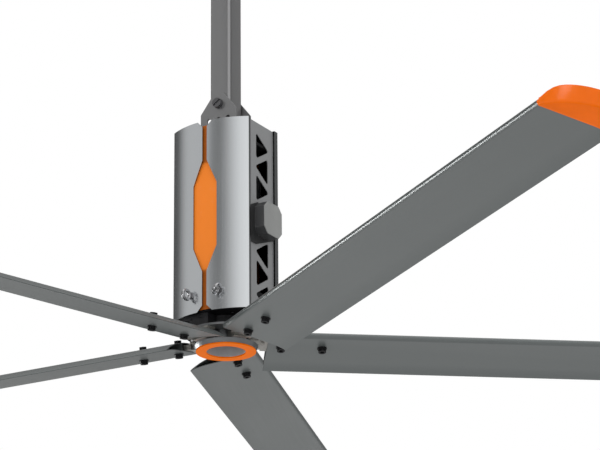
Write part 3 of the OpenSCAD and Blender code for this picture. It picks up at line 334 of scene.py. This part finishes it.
def turned(name, colour, rough=0.3, metallic=0.9, bore=0.0):
    """Metal turned on a lathe: fine rings about the fan's axis, none of them within the bore's radius."""
    f = Finish(name)
    here = f.place()
    across = f.node("ShaderNodeVectorMath", {"operation": "MULTIPLY"}, {0: here, 1: (1.0, 1.0, 0.0)})
    radius = f.node("ShaderNodeVectorMath", {"operation": "LENGTH"}, {0: across}, out="Value")
    height = f.axis(here, "Z")
    rings = f.noise(f.node("ShaderNodeCombineXYZ", {}, {"X": radius * 900, "Y": height * 900}), 1.0,
                    roughness=0.6)
    cloud = f.noise(here, 18.0)
    tone = f.tones(cloud.ramp(0.3, 0.7), colour, 0.92, 1.06)
    rough = rough + rings.swing(0.18) + cloud.swing(0.06)
    # Painted light: a lighter, less metallic colour within the bore, standing in for its bright reflections
    if bore:
        outside = radius.past(bore, WIDE_BLUR)
        tone = f.mix(outside, BORE_LIGHT_COLOUR, tone)
        metallic = outside * (metallic - BORE_METALLIC) + BORE_METALLIC
        rings = rings * outside
    return f.surface(base_color=tone, metallic=metallic, roughness=rough, normal=f.bump(rings, 0.12, 0.0002))


def plated(name, colour, rough, wear=0.05):
    """Plated or blackened steel: smooth, with faint handling marks."""
    f = Finish(name)
    here = f.place()
    marks = f.noise(here, 160.0, detail=5.0, roughness=0.7)
    cloud = f.noise(here, 40.0)
    return f.surface(
        base_color=f.tones(cloud.ramp(0.35, 0.7), colour, 0.92, 1.05), metallic=1.0,
        roughness=rough + marks.swing(wear * 2) + cloud.swing(wear), normal=f.bump(marks, 0.05, 0.0002))


# Each slot's finish, its colour or the setting that holds it, and the finish's own values
SLOTS = {
    "tube_steel": (painted, "tube", dict(rough=0.34, peel=0.05, metallic=0.9)),
    "pivot_bolt_black": (plated, (0.16, 0.16, 0.165), dict(rough=0.35)),
    "bronze": (turned, (0.60, 0.42, 0.18), {}),
    # Nearly black: painted shade for the plates inside the housing (plate_steel) and for the housing's
    # underside plate (black_plate)
    "plate_steel": (painted, (0.009, 0.009, 0.010), dict(rough=0.55, gloss=0.1)),
    "black_plate": (painted, (0.010, 0.010, 0.011), dict(rough=0.5, gloss=0.1)),
    "panel_grey": (anodised, "panel", dict(
        rough=0.42, metallic=0.3, stretch=(30, 30, 1.0), streaks=0.03, inside=(None, PANEL_X))),
    "cover_aluminium": (anodised, "cover", dict(
        rough=0.20, metallic=1.0, edge_x=SIDE_X - SIDE_EDGE,
        inside=(COVER_ARC - abs(COVER_FRONT), COVER_ARC - COVER_SKIN))),
    "orange_paint": (painted, "orange", dict(rough=0.4, peel=0.06, gloss=0.02)),
    "orange_plastic": (moulded, "fin", dict(rough=0.32, grain=0.06, scale=500.0, gloss=0.05, coat=0.4)),
    "eye_chrome": (plated, (0.36, 0.36, 0.37), dict(rough=0.07, wear=0.02)),
    "box_grey": (moulded, "box", dict(rough=0.5, foot_x=BOX_FOOT_X)),
    "lid_grey": (moulded, "lid", dict(rough=0.5, grain=0.35, scale=420.0)),
    "board_green": (moulded, (0.02, 0.12, 0.05), dict(rough=0.4)),
    "case_dark": (cast_metal, (0.018, 0.018, 0.02), {}),
    "case_grey": (cast_metal, (0.20, 0.20, 0.21), dict(rough=0.5, metallic=0.8)),
    "steel": (turned, (0.45, 0.45, 0.46), dict(rough=0.32)),
    "seal_rubber": (moulded, (0.012, 0.012, 0.012), dict(rough=0.7)),
    "winding": (turned, (0.42, 0.16, 0.05), dict(rough=0.4)),
    "heatsink_aluminium": (anodised, (0.30, 0.30, 0.31), dict(rough=0.45)),
    "hub_grey": (turned, "hub", dict(rough=0.34, metallic=0.8, bore=BORE_R + BORE_SKIN)),
    "screw_black": (painted, (0.010, 0.010, 0.011), dict(rough=0.45, peel=0.05, gloss=0.12)),
    "zinc": (plated, (0.72, 0.73, 0.75), dict(rough=0.22)),
    "strut_steel": (turned, "strut", dict(rough=0.42)),
}
FINISHES = {}


def finish_of(slot):
    """The material of a slot, made when it is first asked for."""
    if slot not in FINISHES:
        maker, colour, values = SLOTS[slot]
        if isinstance(colour, str):
            colour = tuple(getattr(bpy.context.scene.fan_look, colour))
        FINISHES[slot] = maker(slot, colour, **values)
    return FINISHES[slot]


def blade_finish(number, angle):
    """A blade's finish, with its lines along the blade at this angle."""
    return anodised("blade_grey_%d" % number, tuple(bpy.context.scene.fan_look.blade), 0.34, metallic=0.3,
                    turn=angle, stretch=(0.8, 30, 30), streaks=0.05)


def paint(obj, material):
    obj.data.materials.clear()
    obj.data.materials.append(material)


def select_only(obj):
    for other in bpy.context.selected_objects:
        other.select_set(False)
    obj.select_set(True)
    bpy.context.view_layer.objects.active = obj


def dress(node, bevel=0.0, material=None, angle=EDGE_ANGLE):
    """A merged and bevelled copy of a CAD node, which stands for it. bevel is a share of the edge radius."""
    piece = NODES[node].copy()
    piece.data = NODES[node].data.copy()
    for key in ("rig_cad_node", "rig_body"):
        if key in piece:
            del piece[key]
    piece.parent = None
    piece.name = piece.data.name = node + "_finished"
    bpy.context.scene.collection.objects.link(piece)
    select_only(piece)
    bpy.ops.object.mode_set(mode="EDIT")
    bpy.ops.mesh.select_all(action="SELECT")
    bpy.ops.mesh.remove_doubles(threshold=MERGE_DISTANCE)
    bpy.ops.mesh.dissolve_limited(angle_limit=FLAT_ANGLE)
    bpy.ops.object.mode_set(mode="OBJECT")
    if piece.data.has_custom_normals:
        bpy.ops.mesh.customdata_custom_splitnormals_clear()
    bpy.ops.object.shade_smooth_by_angle(angle=angle)
    if bevel:
        edge = piece.modifiers.new("edges", "BEVEL")
        edge.width = bevel * bpy.context.scene.fan_look.edge
        edge.segments = EDGE_SEGMENTS
        edge.limit_method = "ANGLE"
        edge.angle_limit = angle
        edge.use_clamp_overlap = True
        edge.harden_normals = True
        bpy.ops.object.modifier_apply(modifier=edge.name)
    paint(piece, material or finish_of(SLOT_OF[node]))
    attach(piece, BODY_OF[node])
    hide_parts(node)
    return piece


# Sizes and colours that a user would change

class FanLook(bpy.types.PropertyGroup):
    cover: FloatVectorProperty(name="Covers", description="Satin covers", subtype="COLOR", min=0, max=1,
                               default=(0.60, 0.62, 0.635))
    panel: FloatVectorProperty(name="Side panels", description="Side panels", subtype="COLOR", min=0, max=1,
                               default=(0.29, 0.295, 0.30))
    tube: FloatVectorProperty(name="Tube", description="Down tube and hanger plates", subtype="COLOR",
                              min=0, max=1, default=(0.285, 0.285, 0.288))
    blade: FloatVectorProperty(name="Blades", description="Blades", subtype="COLOR", min=0, max=1,
                               default=(0.118, 0.130, 0.129))
    hub: FloatVectorProperty(name="Hub", description="Hub's discs", subtype="COLOR", min=0, max=1,
                             default=(0.16, 0.164, 0.168))
    strut: FloatVectorProperty(name="Struts", description="Struts", subtype="COLOR", min=0, max=1,
                               default=(0.30, 0.29, 0.27))
    orange: FloatVectorProperty(name="Orange", description="Trim ring", subtype="COLOR", min=0, max=1,
                                default=(1.0, 0.180, 0.004))
    # Paler than the trim ring's orange: partly the plates' own paint, partly painted reflection on their
    # faces
    accent: FloatVectorProperty(name="Accent plates", description="Accent plates", subtype="COLOR",
                                min=0, max=1, default=(0.99, 0.245, 0.026))
    fin: FloatVectorProperty(name="Tip fins", description="Tip fins", subtype="COLOR", min=0, max=1,
                             default=(0.94, 0.158, 0.001))
    box: FloatVectorProperty(name="Control box", description="Control box", subtype="COLOR", min=0, max=1,
                             default=(0.046, 0.047, 0.049))
    lid: FloatVectorProperty(name="Control box lid", description="Control box lid", subtype="COLOR",
                             min=0, max=1, default=(0.27, 0.275, 0.27))
    edge: FloatProperty(name="Edge radius", description="Rounding of sheet and plate edges", unit="LENGTH",
                        default=0.0006, min=0.0, max=0.003)


class FanStage(bpy.types.PropertyGroup):
    camera_at: FloatVectorProperty(name="Camera place", description="Camera from the ceiling plate's middle",
                                   subtype="TRANSLATION", default=(3.864, -6.105, -3.962))
    turn: FloatProperty(name="Camera turn", description="Turn of the view from the housing's front",
                        subtype="ANGLE", default=math.radians(32.415))
    pitch: FloatProperty(name="Camera pitch", description="How far the camera looks up", subtype="ANGLE",
                         default=math.radians(19.896))
    lens: FloatProperty(name="Lens", description="Focal length", unit="CAMERA", default=171.6036)
    shift: FloatProperty(name="Shift", description="Sideways shift of the picture", default=0.13)
    floor_z: FloatProperty(name="Floor", description="Height of the studio floor", unit="LENGTH",
                           default=-17.3)


# Stage

class FAN_OT_stage(bpy.types.Operator):
    """Studio: camera, floor and a white surround that lights the fan"""
    bl_idname = "fan.stage"
    bl_label = "Stage"

    def execute(self, context):
        s = context.scene.fan_stage
        context.scene.view_settings.view_transform = "Standard"
        context.scene.view_settings.look = "None"
        camera = bpy.data.objects.new("camera", bpy.data.cameras.new("camera"))
        context.scene.collection.objects.link(camera)
        camera.data.sensor_fit = "HORIZONTAL"
        camera.data.sensor_width = SENSOR_WIDTH
        camera.data.lens = s.lens
        camera.data.shift_x = s.shift
        camera.data.clip_end = VIEW_DEPTH
        look = Vector((-math.sin(s.turn) * math.cos(s.pitch), math.cos(s.turn) * math.cos(s.pitch),
                       math.sin(s.pitch)))
        camera.location = s.camera_at
        camera.rotation_mode = "QUATERNION"
        camera.rotation_quaternion = look.to_track_quat("-Z", "Y")
        context.scene.camera = camera
        self.surround(context)
        self.floor(s)
        return {"FINISHED"}

    def surround(self, context):
        """White to the camera. To the object, a grey room with soft bright and dark sides."""
        world = bpy.data.worlds.new("studio")
        context.scene.world = world
        f = Finish("studio", world)
        way = f.node("ShaderNodeTexCoord", out="Generated")

        def room(level, sides):
            for azimuth, elevation, inner, outer, strength in sides:
                a, e = math.radians(azimuth), math.radians(elevation)
                to = (math.sin(a) * math.cos(e), -math.cos(a) * math.cos(e), math.sin(e))
                dot = f.node("ShaderNodeVectorMath", {"operation": "DOT_PRODUCT"}, {0: way, 1: to},
                             out="Value")
                side = dot.ramp(math.cos(math.radians(outer)), math.cos(math.radians(inner)))
                level = side * strength + level
            return level

        seen, glossy = (f.node("ShaderNodeLightPath", out=ray) for ray in ("Is Camera Ray", "Is Glossy Ray"))
        light = glossy * room(MIRRORED_LEVEL, MIRRORED_SIDES) + (1 - glossy) * room(SOFT_LEVEL, SOFT_SIDES)
        colour = f.node("ShaderNodeBackground", {}, {
            "Color": (1.0, 1.0, 1.0, 1.0), "Strength": seen + (1 - seen) * light})
        f.node("ShaderNodeOutputWorld", {}, {"Surface": colour}, out=None)

    def floor(self, s):
        bpy.ops.mesh.primitive_grid_add(x_subdivisions=FLOOR_CELLS, y_subdivisions=FLOOR_CELLS,
                                        size=FLOOR_SIZE, location=(0.0, 0.0, s.floor_z))
        floor = bpy.context.active_object
        floor.name = "studio_floor"
        bpy.ops.object.transform_apply(location=True)
        paint(floor, painted("studio_floor", FLOOR_COLOUR, rough=0.7, peel=0.0, fade=0.01))


# Dressing, one operator for each group of like pieces

def dressing(idname, label, doc, jobs):
    """An operator that dresses its nodes. jobs lists (node names, bevel as a share of the edge radius)."""

    def execute(self, context):
        for names, bevel in jobs:
            for name in names:
                dress(name, bevel)
        return {"FINISHED"}

    return type("FAN_OT_" + idname, (bpy.types.Operator,),
                {"__doc__": doc, "bl_idname": "fan." + idname, "bl_label": label, "execute": execute})


class FAN_OT_blades(bpy.types.Operator):
    """Blades, each with its lines along its own length"""
    bl_idname = "fan.blades"
    bl_label = "Blades"

    def execute(self, context):
        for i, name in enumerate(BLADES):
            lo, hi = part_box(name)
            middle = (lo + hi) / 2
            finish = blade_finish(i + 1, math.atan2(middle.y, middle.x))
            dress(name, 0.7, finish, BLADE_EDGE_ANGLE)
        return {"FINISHED"}


class FAN_OT_accents(bpy.types.Operator):
    """Accent plates, bright in the window and dark in the slots above and below it"""
    bl_idname = "fan.accents"
    bl_label = "Accent plates"

    def execute(self, context):
        colour = tuple(context.scene.fan_look.accent)
        finish = painted("orange_accent", colour, 0.4, 0.06, gloss=0.12, groove_shade=(
            WINDOW_Z, WINDOW_HALF_H, abs(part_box("front_accent")[0].y), SLOT_SHADE_TONE))
        for name in ("front_accent", "rear_accent"):
            dress(name, 0.7, finish)
        return {"FINISHED"}


class FAN_OT_plain(bpy.types.Operator):
    """Finishes on the frame's remaining nodes"""
    bl_idname = "fan.plain"
    bl_label = "Remaining nodes"

    def execute(self, context):
        for name, obj in NODES.items():
            slot = SLOT_OF[name]
            paint(obj, blade_finish(0, 0.0) if slot == "blade_grey" else finish_of(slot))
        return {"FINISHED"}


GROUPS = [
    dressing("hanging", "Hanging", "Tube, hanger plates and pivot bolts", [
        (["down_tube"], 3.0),
        (["hanger_plates", "ceiling_bracket", "crosshead"], 1.0),
        (["upper_pivot_bolt", "lower_pivot_bolt", "crosshead_bolts"], 1.3)]),
    dressing("housing", "Housing", "Covers and side panels", [
        (["front_left_cover", "front_right_cover", "rear_left_cover", "rear_right_cover"], 1.0),
        (["left_side_panel", "right_side_panel"], 0.8)]),
    dressing("eyes", "Guy eyes", "Eye bolts for the guy wires", [(["guy_eyes"], 0.7)]),
    dressing("control_box", "Control box", "Control box and its lid", [
        (["control_box", "control_box_lid"], 1.5)]),
    dressing("hub", "Hub", "Hub, trim ring, struts and bolts", [
        (["hub_body", "trim_ring", "upper_disc"], 1.0),
        (["lug_bolts", "hub_screws", "blade_bolts"], 0.8),
        (["struts"], 1.3)]),
    dressing("winglets", "Winglets", "Tip fins", [
        (["winglet_%d" % (i + 1) for i in range(len(BLADES))], 0.0)]),
]
OPERATORS = [FAN_OT_stage, FAN_OT_plain, *GROUPS, FAN_OT_accents, FAN_OT_blades]


class FAN_PT_sidebar(bpy.types.Panel):
    bl_idname = "FAN_PT_sidebar"
    bl_label = "Ceiling fan"
    bl_space_type = "VIEW_3D"
    bl_region_type = "UI"
    bl_category = "Fan"

    def draw(self, context):
        for settings in (context.scene.fan_look, context.scene.fan_stage):
            for name in settings.__annotations__:
                self.layout.prop(settings, name)
        for operator in OPERATORS:
            self.layout.operator(operator.bl_idname)


CLASSES = [FanLook, FanStage, *OPERATORS, FAN_PT_sidebar]


def register():
    for cls in CLASSES:
        bpy.utils.register_class(cls)
    bpy.types.Scene.fan_look = PointerProperty(type=FanLook)
    bpy.types.Scene.fan_stage = PointerProperty(type=FanStage)


def unregister():
    del bpy.types.Scene.fan_stage
    del bpy.types.Scene.fan_look
    for cls in reversed(CLASSES):
        bpy.utils.unregister_class(cls)


def main():
    register()
    for operator in OPERATORS:
        getattr(bpy.ops.fan, operator.bl_idname.split(".")[1])()


if __name__ == "__main__":
    main()
